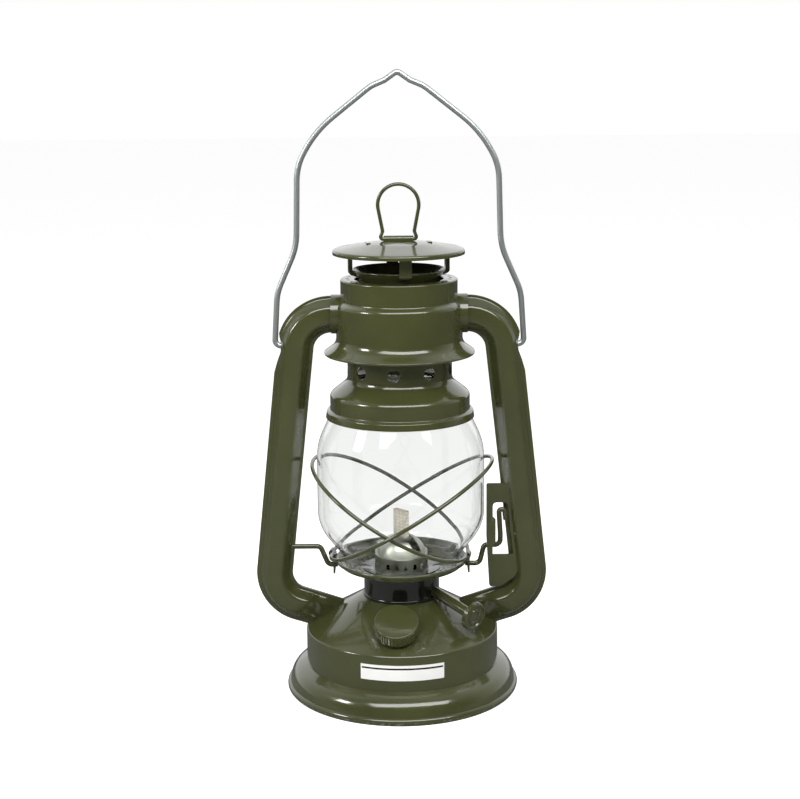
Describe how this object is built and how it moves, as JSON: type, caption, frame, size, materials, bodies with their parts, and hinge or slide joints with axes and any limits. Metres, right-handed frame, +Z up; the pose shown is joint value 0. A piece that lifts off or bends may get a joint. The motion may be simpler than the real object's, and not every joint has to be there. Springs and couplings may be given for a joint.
{
  "type": "kerosene lamp",
  "caption": "Olive enamelled tubular kerosene lantern with side air tubes, lifting glass globe, wire guard, flat wick burner, screw filler cap and wire bail",
  "frame": {"origin": "centre of the foot's ring on the surface that the lantern stands on", "axes": "+Z up the lantern's axis, -Y to the front with the filler cap, +X to the side with the globe lever"},
  "size_m": [0.1508, 0.121, 0.3179],
  "materials": {
    "olive_enamel": "gloss enamel baked on pressed steel",
    "black_enamel": "gloss black enamel",
    "tinplate": "dull tinned steel",
    "galvanised_wire": "drawn galvanised wire",
    "spring_steel": "plain spring wire",
    "clear_glass": "clear blown glass",
    "wick_cotton": "flat woven cotton",
    "label_film": "printed film",
    "gasket_rubber": "moulded ring"
  },
  "bodies": {
    "frame": {"fount_foot": "olive_enamel", "fount_bottom": "olive_enamel", "fount_shell": "olive_enamel", "fill_label": "label_film", "filler_neck": "tinplate", "burner_collar": "black_enamel", "burner_drum": "tinplate", "flame_cone": "tinplate", "wick_tube": "tinplate", "knob_sleeve": "olive_enamel", "left_air_tube": "olive_enamel", "right_air_tube": "olive_enamel", "tube_ferrules": "olive_enamel", "air_chamber": "olive_enamel", "chamber_top": "olive_enamel", "lever_plate": "olive_enamel"},
    "bail": {"bail": "galvanised_wire"},
    "globe_carriage": {"globe_plate": "olive_enamel", "inner_guard_ring": "olive_enamel", "outer_guard_ring": "olive_enamel", "glass_globe": "clear_glass"},
    "lift_lever": {"lift_lever": "olive_enamel"},
    "lift_arm": {"lift_arm": "olive_enamel"},
    "chimney": {"hood": "olive_enamel", "chimney": "tinplate", "hood_spring": "spring_steel", "crown": "olive_enamel", "crown_legs": "olive_enamel", "top_cap": "olive_enamel", "cap_tabs": "olive_enamel", "ring_lug": "olive_enamel"},
    "lift_ring": {"lift_ring": "olive_enamel"},
    "wick_raiser": {"wick_shaft": "tinplate", "feed_wheels": "tinplate", "wick_knob": "olive_enamel"},
    "wick": {"wick": "wick_cotton"},
    "filler_gasket": {"filler_gasket": "gasket_rubber"},
    "filler_cap": {"filler_cap": "olive_enamel"}
  },
  "joints": [
    {"name": "bail_swing", "type": "hinge", "parent": "frame", "child": "bail", "pos_m": [0, 0, 0.181], "axis": [1, 0, 0], "range_deg": [-140, 140]},
    {"name": "globe_lift", "type": "slide", "parent": "frame", "child": "globe_carriage", "axis": [0, 0, 1], "range_m": [0, 0.00818]},
    {"name": "lift_lever_turn", "type": "hinge", "parent": "frame", "child": "lift_lever", "pos_m": [0.048, 0, 0.0749], "axis": [1, 0, 0], "range_deg": [0, 80]},
    {"name": "lift_arm_turn", "type": "hinge", "parent": "frame", "child": "lift_arm", "pos_m": [-0.05, 0, 0.0749], "axis": [1, 0, 0], "range_deg": [0, 80]},
    {"name": "chimney_lift", "type": "slide", "parent": "globe_carriage", "child": "chimney", "axis": [0, 0, 1], "range_m": [0, 0.011], "stiffness_N_per_m": 150, "springref_m": -0.01, "deforming": ["hood_spring"]},
    {"name": "ring_fold", "type": "hinge", "parent": "chimney", "child": "lift_ring", "pos_m": [0, 0, 0.2346], "axis": [1, 0, 0], "range_deg": [-85, 85]},
    {"name": "wick_knob_turn", "type": "hinge", "parent": "frame", "child": "wick_raiser", "pos_m": [0.00351, 0.00342, 0.0574], "axis": [0.6793, -0.6985, -0.225], "range_deg": [-100, 230]},
    {"name": "wick_raise", "type": "slide", "parent": "frame", "child": "wick", "axis": [0, 0, 1], "range_m": [-0.0137, 0.006]},
    {"name": "filler_cap_rise", "type": "slide", "parent": "frame", "child": "filler_gasket", "axis": [-0.0353, -0.5041, 0.8629], "range_m": [0, 0.00501]},
    {"name": "filler_cap_turn", "type": "hinge", "parent": "filler_gasket", "child": "filler_cap", "pos_m": [-0.00251, -0.03591, 0.0405], "axis": [-0.0353, -0.5041, 0.8629], "range_deg": [0, 720]}
  ],
  "couplings": [
    {"joint": "lift_lever_turn", "follows": "globe_lift", "rad_per_m": 170.67},
    {"joint": "lift_arm_turn", "follows": "globe_lift", "rad_per_m": 170.67},
    {"joint": "wick_raise", "follows": "wick_knob_turn", "m_per_rad": -0.0034},
    {"joint": "filler_cap_rise", "follows": "filler_cap_turn", "m_per_rad": 0.00039789}
  ]
}
